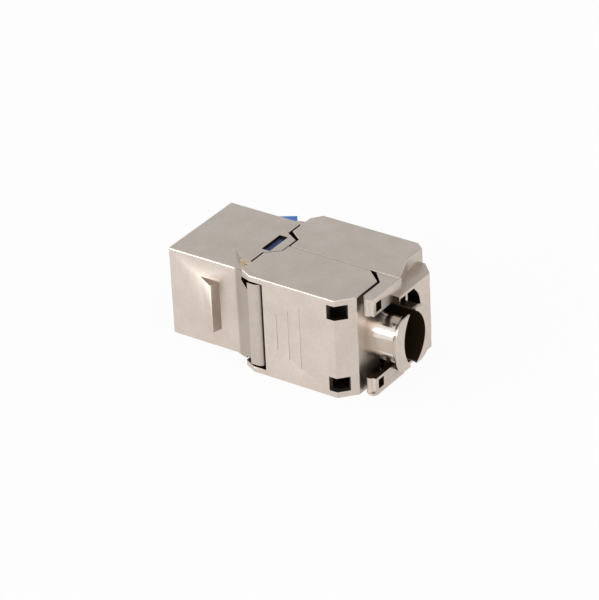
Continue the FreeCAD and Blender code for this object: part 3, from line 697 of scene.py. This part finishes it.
@dataclass
class Studio:
    """A plain white floor, soft light and the camera."""

    eye: tuple[float, float, float] = (0.26880, -0.35117, 0.24926)
    turn: tuple[float, float, float] = (59.928, 2.399, 34.208)
    lens: float = 204.87
    sensor: float = 36.0
    rise: float = -0.0013
    sight: Range = (0.01, 20.0)
    floor_level: float = 0.0
    floor_size: float = 4.0
    paper: float = 0.86
    paper_glow: float = 0.93
    mirrored_glow: float = 0.6
    horizon: Colour = (1.0, 1.0, 1.0)
    overhead: Colour = (0.635, 0.65, 0.66)
    overhead_from: Range = (0.2, 0.7)
    back_weight: float = 0.45
    lamps: tuple[Lamp, ...] = (
        Lamp("key_lamp", (-0.53, -0.68, 0.14), (1.0, 0.17), 4.6),
        Lamp("front_lamp", (0.52, -0.70, 0.50), (0.4, 0.35), 1.0),
    )

    def camera(self) -> None:
        """Set the camera at the viewing place, with its lens and its small roll."""
        data = bpy.data.cameras.new("camera")
        data.sensor_fit = "HORIZONTAL"
        data.sensor_width = self.sensor
        data.lens = self.lens
        data.shift_y = self.rise
        data.clip_start, data.clip_end = self.sight
        camera = bpy.data.objects.new("camera", data)
        camera.location = self.eye
        camera.rotation_euler = tuple(math.radians(a) for a in self.turn)
        bpy.context.scene.collection.objects.link(camera)
        bpy.context.scene.camera = camera

    def floor(self) -> None:
        """Lay the white floor under the jack."""
        half = self.floor_size / 2
        mesh = bpy.data.meshes.new("floor")
        corners = [(-half, -half), (half, -half), (half, half), (-half, half)]
        mesh.from_pydata([(x, y, self.floor_level) for x, y in corners], [], [(0, 1, 2, 3)])
        mesh.materials.append(self.floor_white())
        floor = bpy.data.objects.new("floor", mesh)
        bpy.context.scene.collection.objects.link(floor)
        floor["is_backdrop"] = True

    def floor_white(self) -> bpy.types.Material:
        """Return the floor's material: matt paper that the camera and mirrored rays see as nearly white."""
        material = bpy.data.materials.new("floor_white")
        material.use_nodes = True
        tree = material.node_tree
        tree.nodes.clear()
        paper = tree.nodes.new("ShaderNodeBsdfDiffuse")
        paper.inputs["Color"].default_value = (self.paper, self.paper, self.paper, 1.0)
        glow = tree.nodes.new("ShaderNodeEmission")
        glow.inputs["Color"].default_value = (1.0, 1.0, 1.0, 1.0)
        path = tree.nodes.new("ShaderNodeLightPath")
        mirrored, seen, also, share = (tree.nodes.new("ShaderNodeMath") for _ in range(4))
        mirrored.operation = share.operation = "MULTIPLY"
        mirrored.inputs[1].default_value = self.mirrored_glow
        share.inputs[1].default_value = self.paper_glow
        seen.operation = also.operation = "ADD"
        also.use_clamp = True
        mix = tree.nodes.new("ShaderNodeMixShader")
        out = tree.nodes.new("ShaderNodeOutputMaterial")
        for source, target in (
            (path.outputs["Is Glossy Ray"], mirrored.inputs[0]),
            (path.outputs["Is Camera Ray"], seen.inputs[0]),
            (mirrored.outputs[0], seen.inputs[1]),
            (seen.outputs[0], also.inputs[0]),
            (path.outputs["Is Transmission Ray"], also.inputs[1]),
            (also.outputs[0], share.inputs[0]),
            (share.outputs[0], mix.inputs["Fac"]),
            (paper.outputs[0], mix.inputs[1]),
            (glow.outputs[0], mix.inputs[2]),
            (mix.outputs[0], out.inputs["Surface"]),
        ):
            tree.links.new(source, target)
        return material

    def world(self) -> None:
        """Surround the jack with light that is white at the horizon and greyer high up and at the back."""
        world = bpy.data.worlds.new("studio")
        bpy.context.scene.world = world
        world.use_nodes = True
        tree = world.node_tree
        back = next(n for n in tree.nodes if n.type == "BACKGROUND")
        place = tree.nodes.new("ShaderNodeTexCoord")
        split = tree.nodes.new("ShaderNodeSeparateXYZ")
        lean = tree.nodes.new("ShaderNodeMath")
        lean.operation = "MULTIPLY_ADD"
        lean.inputs[1].default_value = self.back_weight
        ramp = tree.nodes.new("ShaderNodeValToRGB")
        shades = zip(ramp.color_ramp.elements, self.overhead_from, (self.horizon, self.overhead))
        for element, position, colour in shades:
            element.position = position
            element.color = (*colour, 1.0)
        for source, target in (
            (place.outputs["Generated"], split.inputs[0]),
            (split.outputs["Y"], lean.inputs[0]),
            (split.outputs["Z"], lean.inputs[2]),
            (lean.outputs[0], ramp.inputs["Fac"]),
            (ramp.outputs["Color"], back.inputs["Color"]),
        ):
            tree.links.new(source, target)

    def build(self) -> None:
        """Set up the camera, the world, the floor and the lamps."""
        bpy.context.scene.view_settings.view_transform = "Standard"
        self.camera()
        self.world()
        self.floor()
        for lamp in self.lamps:
            lamp.hang()


def main() -> None:
    """Dress the jack and set up the studio."""
    logging.basicConfig(level=logging.INFO, format="%(message)s")
    cad_box = [list(corner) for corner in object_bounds()]
    lowest = cad_box[0][2]
    for part in (Casting(), Latch(), Port(), Termination()):
        LOG.info("building %s", type(part).__name__)
        part.build()
    Studio(floor_level=lowest).build()
    bpy.context.view_layer.update()


if __name__ == "__main__":
    main()
